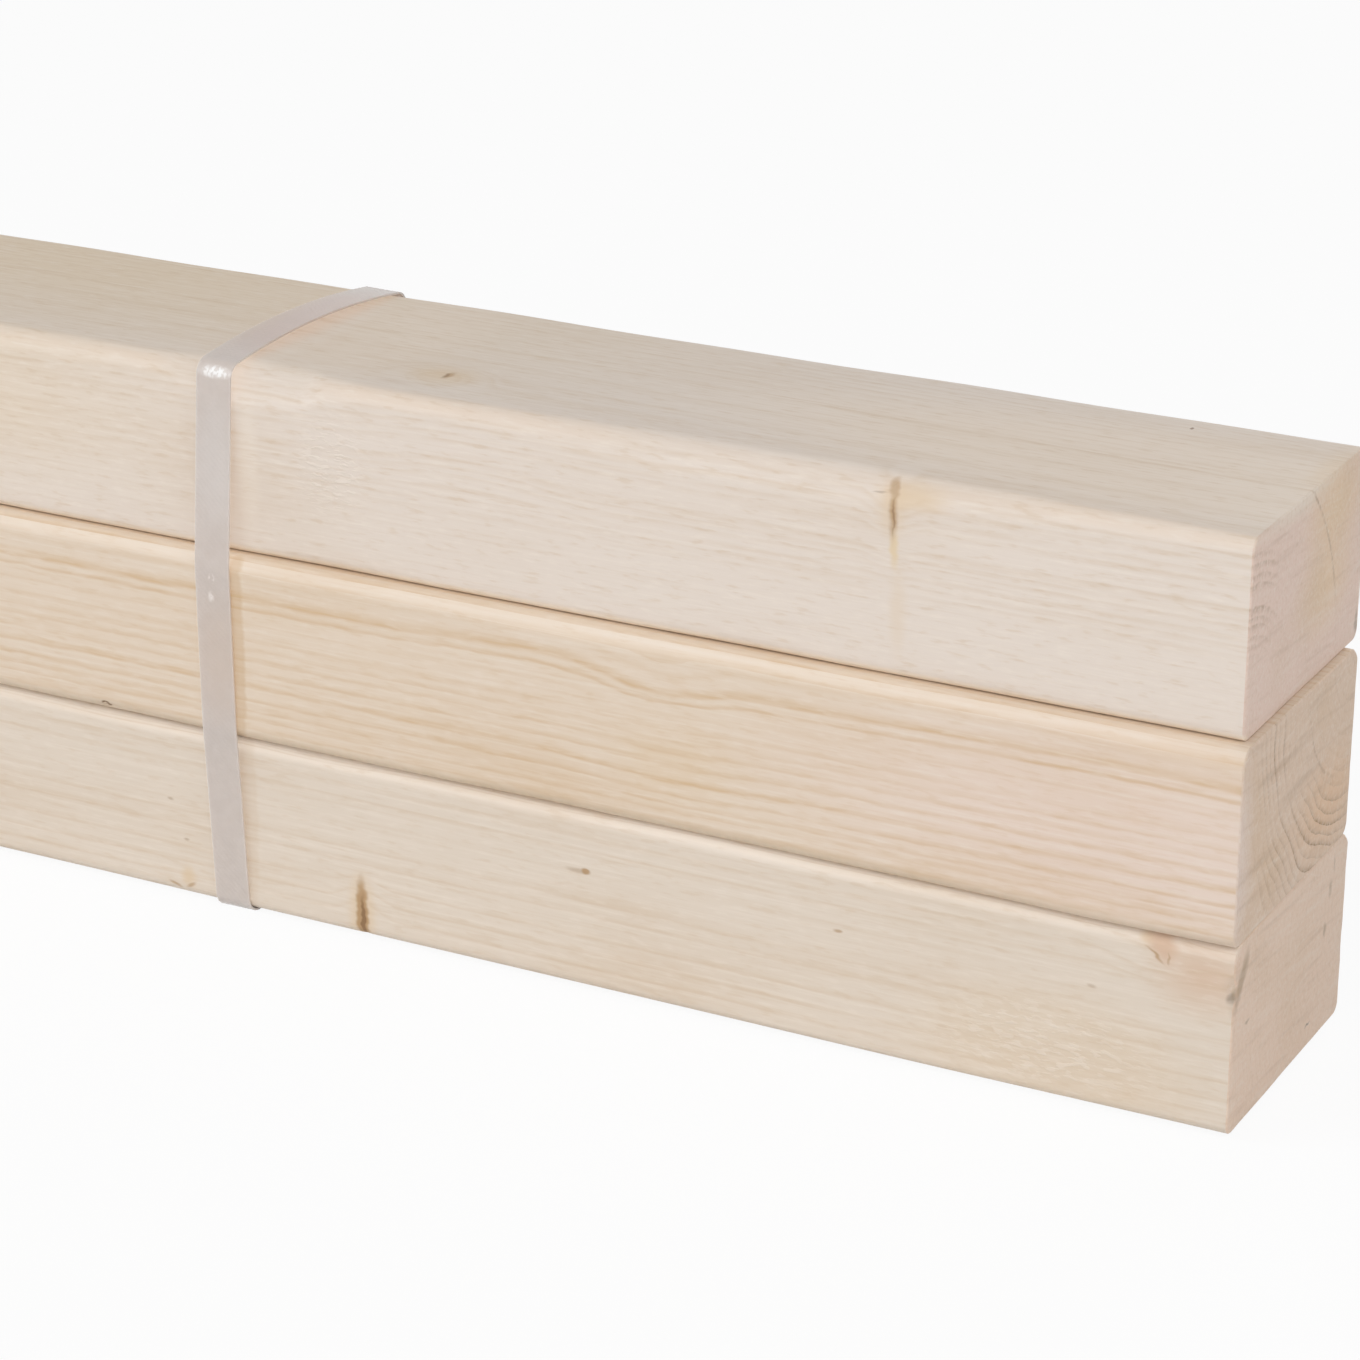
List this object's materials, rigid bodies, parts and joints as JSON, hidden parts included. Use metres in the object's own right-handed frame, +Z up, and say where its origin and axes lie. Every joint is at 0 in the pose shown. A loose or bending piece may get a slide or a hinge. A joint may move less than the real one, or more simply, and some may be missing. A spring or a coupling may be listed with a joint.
{
  "type": "bundle of wooden battens",
  "caption": "Bundle of planed softwood battens stacked on their wide faces and held together by plastic straps, for framing and carcassing work.",
  "frame": {"origin": "middle of the bundle's box, on the floor under the straps", "axes": "+X along the battens towards the sawn ends on show, +Y from the front faces to the back, +Z up"},
  "size_m": [1.802, 0.076, 0.1363],
  "materials": {
    "wood_pale": "planed spruce, unfinished, pale cream with fine grain",
    "wood_yellow": "planed spruce, unfinished, warmer cream with strong growth rings",
    "strap_plastic": "natural translucent polypropylene, embossed"
  },
  "bodies": {
    "root": {"batten_top": "wood_pale", "batten_middle": "wood_yellow", "batten_bottom": "wood_pale", "strap_right": "strap_plastic", "strap_left": "strap_plastic"}
  },
  "joints": []
}
